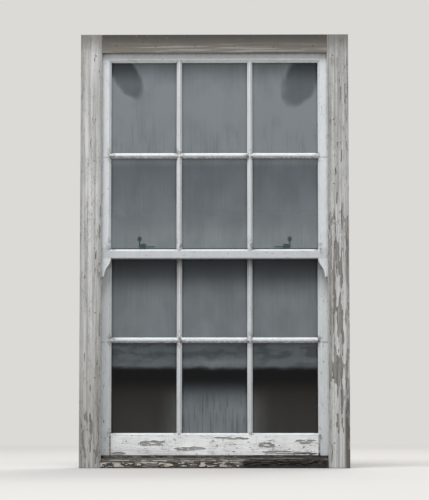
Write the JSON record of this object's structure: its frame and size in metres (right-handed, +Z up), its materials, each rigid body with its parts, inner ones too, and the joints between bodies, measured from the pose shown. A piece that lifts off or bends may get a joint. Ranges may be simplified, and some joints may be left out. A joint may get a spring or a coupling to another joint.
{
  "type": "sash window",
  "caption": "Old timber box sash window with its frame: two multi-pane sashes slide one behind the other, hung on cords over pulleys to hidden iron weights.",
  "frame": {"origin": "on the underside of the sill, in the middle of the frame's width and depth", "axes": "+Z up, +Y into the building so that the weather side faces -Y, +X to the right seen from outside"},
  "size_m": [1.088, 0.142, 1.76],
  "materials": {
    "sash_paint": "satin",
    "lining_paint": "matte",
    "head_lining_paint": "matte",
    "inside_paint": "satin",
    "sill_timber": "matte",
    "bare_softwood": "matte",
    "old_glass": "gloss",
    "painted_putty": "matte",
    "dull_brass": "satin",
    "wheel_brass": "satin",
    "pulley_iron": "satin",
    "pin_steel": "satin",
    "cast_iron": "matte",
    "sash_cord": "matte"
  },
  "bodies": {
    "frame": {"sill": "sill_timber", "head": "inside_paint", "pulley_stile_left": "inside_paint", "pulley_stile_right": "inside_paint", "pocket_pieces": "inside_paint", "outer_lining_left": "lining_paint", "outer_lining_right": "lining_paint", "outer_lining_head": "head_lining_paint", "inner_lining_left": "inside_paint", "inner_lining_right": "inside_paint", "inner_lining_head": "inside_paint", "back_linings": "bare_softwood", "parting_slips": "bare_softwood", "parting_bead_left": "inside_paint", "parting_bead_right": "inside_paint", "parting_bead_head": "inside_paint", "staff_bead_left": "inside_paint", "staff_bead_right": "inside_paint", "staff_bead_head": "inside_paint", "staff_bead_sill": "inside_paint", "glue_blocks": "bare_softwood", "upper_pulley_cases": "pulley_iron", "lower_pulley_cases": "pulley_iron", "pulley_pins": "pin_steel", "upper_cord_left": "sash_cord", "upper_cord_right": "sash_cord", "lower_cord_left": "sash_cord", "lower_cord_right": "sash_cord"},
    "upper_sash": {"upper_stile_left": "sash_paint", "upper_stile_right": "sash_paint", "upper_top_rail": "sash_paint", "upper_meeting_rail": "sash_paint", "upper_upright_bars": "sash_paint", "upper_cross_bar": "sash_paint", "upper_glass": "old_glass", "upper_putty": "painted_putty", "fastener_keepers": "dull_brass"},
    "lower_sash": {"lower_stile_left": "sash_paint", "lower_stile_right": "sash_paint", "lower_bottom_rail": "sash_paint", "lower_meeting_rail": "sash_paint", "lower_upright_bars": "sash_paint", "lower_cross_bar": "sash_paint", "lower_glass": "old_glass", "lower_putty": "painted_putty", "fastener_bases": "dull_brass", "sash_lifts": "dull_brass"},
    "upper_weight_left": {"upper_weight_left": "cast_iron"},
    "upper_wheel_left": {"upper_pulley_wheel_left": "wheel_brass"},
    "upper_weight_right": {"upper_weight_right": "cast_iron"},
    "upper_wheel_right": {"upper_pulley_wheel_right": "wheel_brass"},
    "lower_weight_left": {"lower_weight_left": "cast_iron"},
    "lower_wheel_left": {"lower_pulley_wheel_left": "wheel_brass"},
    "lower_weight_right": {"lower_weight_right": "cast_iron"},
    "lower_wheel_right": {"lower_pulley_wheel_right": "wheel_brass"},
    "lever_left": {"fastener_lever_left": "dull_brass", "fastener_knob_left": "dull_brass"},
    "lever_right": {"fastener_lever_right": "dull_brass", "fastener_knob_right": "dull_brass"}
  },
  "joints": [
    {"name": "upper_sash_slide", "type": "slide", "parent": "frame", "child": "upper_sash", "axis": [0, 0, 1], "range_m": [-0.7, 0], "deforming": ["upper_cord_left", "upper_cord_right"]},
    {"name": "lower_sash_slide", "type": "slide", "parent": "frame", "child": "lower_sash", "axis": [0, 0, 1], "range_m": [0, 0.7], "deforming": ["lower_cord_left", "lower_cord_right"]},
    {"name": "upper_weight_left_slide", "type": "slide", "parent": "frame", "child": "upper_weight_left", "axis": [0, 0, 1], "range_m": [0, 0.7]},
    {"name": "upper_wheel_left_spin", "type": "hinge", "parent": "frame", "child": "upper_wheel_left", "pos_m": [-0.4905, -0.0285, 1.62], "axis": [0, 1, 0], "range_deg": [0, 1640.02]},
    {"name": "upper_weight_right_slide", "type": "slide", "parent": "frame", "child": "upper_weight_right", "axis": [0, 0, 1], "range_m": [0, 0.7]},
    {"name": "upper_wheel_right_spin", "type": "hinge", "parent": "frame", "child": "upper_wheel_right", "pos_m": [0.4905, -0.0285, 1.62], "axis": [0, 1, 0], "range_deg": [-1640.02, 0]},
    {"name": "lower_weight_left_slide", "type": "slide", "parent": "frame", "child": "lower_weight_left", "axis": [0, 0, 1], "range_m": [-0.7, 0]},
    {"name": "lower_wheel_left_spin", "type": "hinge", "parent": "frame", "child": "lower_wheel_left", "pos_m": [-0.4905, 0.0265, 1.62], "axis": [0, 1, 0], "range_deg": [-1640.02, 0]},
    {"name": "lower_weight_right_slide", "type": "slide", "parent": "frame", "child": "lower_weight_right", "axis": [0, 0, 1], "range_m": [-0.7, 0]},
    {"name": "lower_wheel_right_spin", "type": "hinge", "parent": "frame", "child": "lower_wheel_right", "pos_m": [0.4905, 0.0265, 1.62], "axis": [0, 1, 0], "range_deg": [0, 1640.02]},
    {"name": "lever_left_swing", "type": "hinge", "parent": "lower_sash", "child": "lever_left", "pos_m": [-0.29, 0.0255, 0.8985], "axis": [0, 0, -1], "range_deg": [0, 90]},
    {"name": "lever_right_swing", "type": "hinge", "parent": "lower_sash", "child": "lever_right", "pos_m": [0.29, 0.0255, 0.8985], "axis": [0, 0, 1], "range_deg": [0, 90]}
  ],
  "couplings": [
    {"joint": "upper_weight_left_slide", "follows": "upper_sash_slide", "ratio": -1},
    {"joint": "upper_wheel_left_spin", "follows": "upper_sash_slide", "rad_per_m": -40.816},
    {"joint": "upper_weight_right_slide", "follows": "upper_sash_slide", "ratio": -1},
    {"joint": "upper_wheel_right_spin", "follows": "upper_sash_slide", "rad_per_m": 40.816},
    {"joint": "lower_weight_left_slide", "follows": "lower_sash_slide", "ratio": -1},
    {"joint": "lower_wheel_left_spin", "follows": "lower_sash_slide", "rad_per_m": -40.816},
    {"joint": "lower_weight_right_slide", "follows": "lower_sash_slide", "ratio": -1},
    {"joint": "lower_wheel_right_spin", "follows": "lower_sash_slide", "rad_per_m": 40.816}
  ]
}
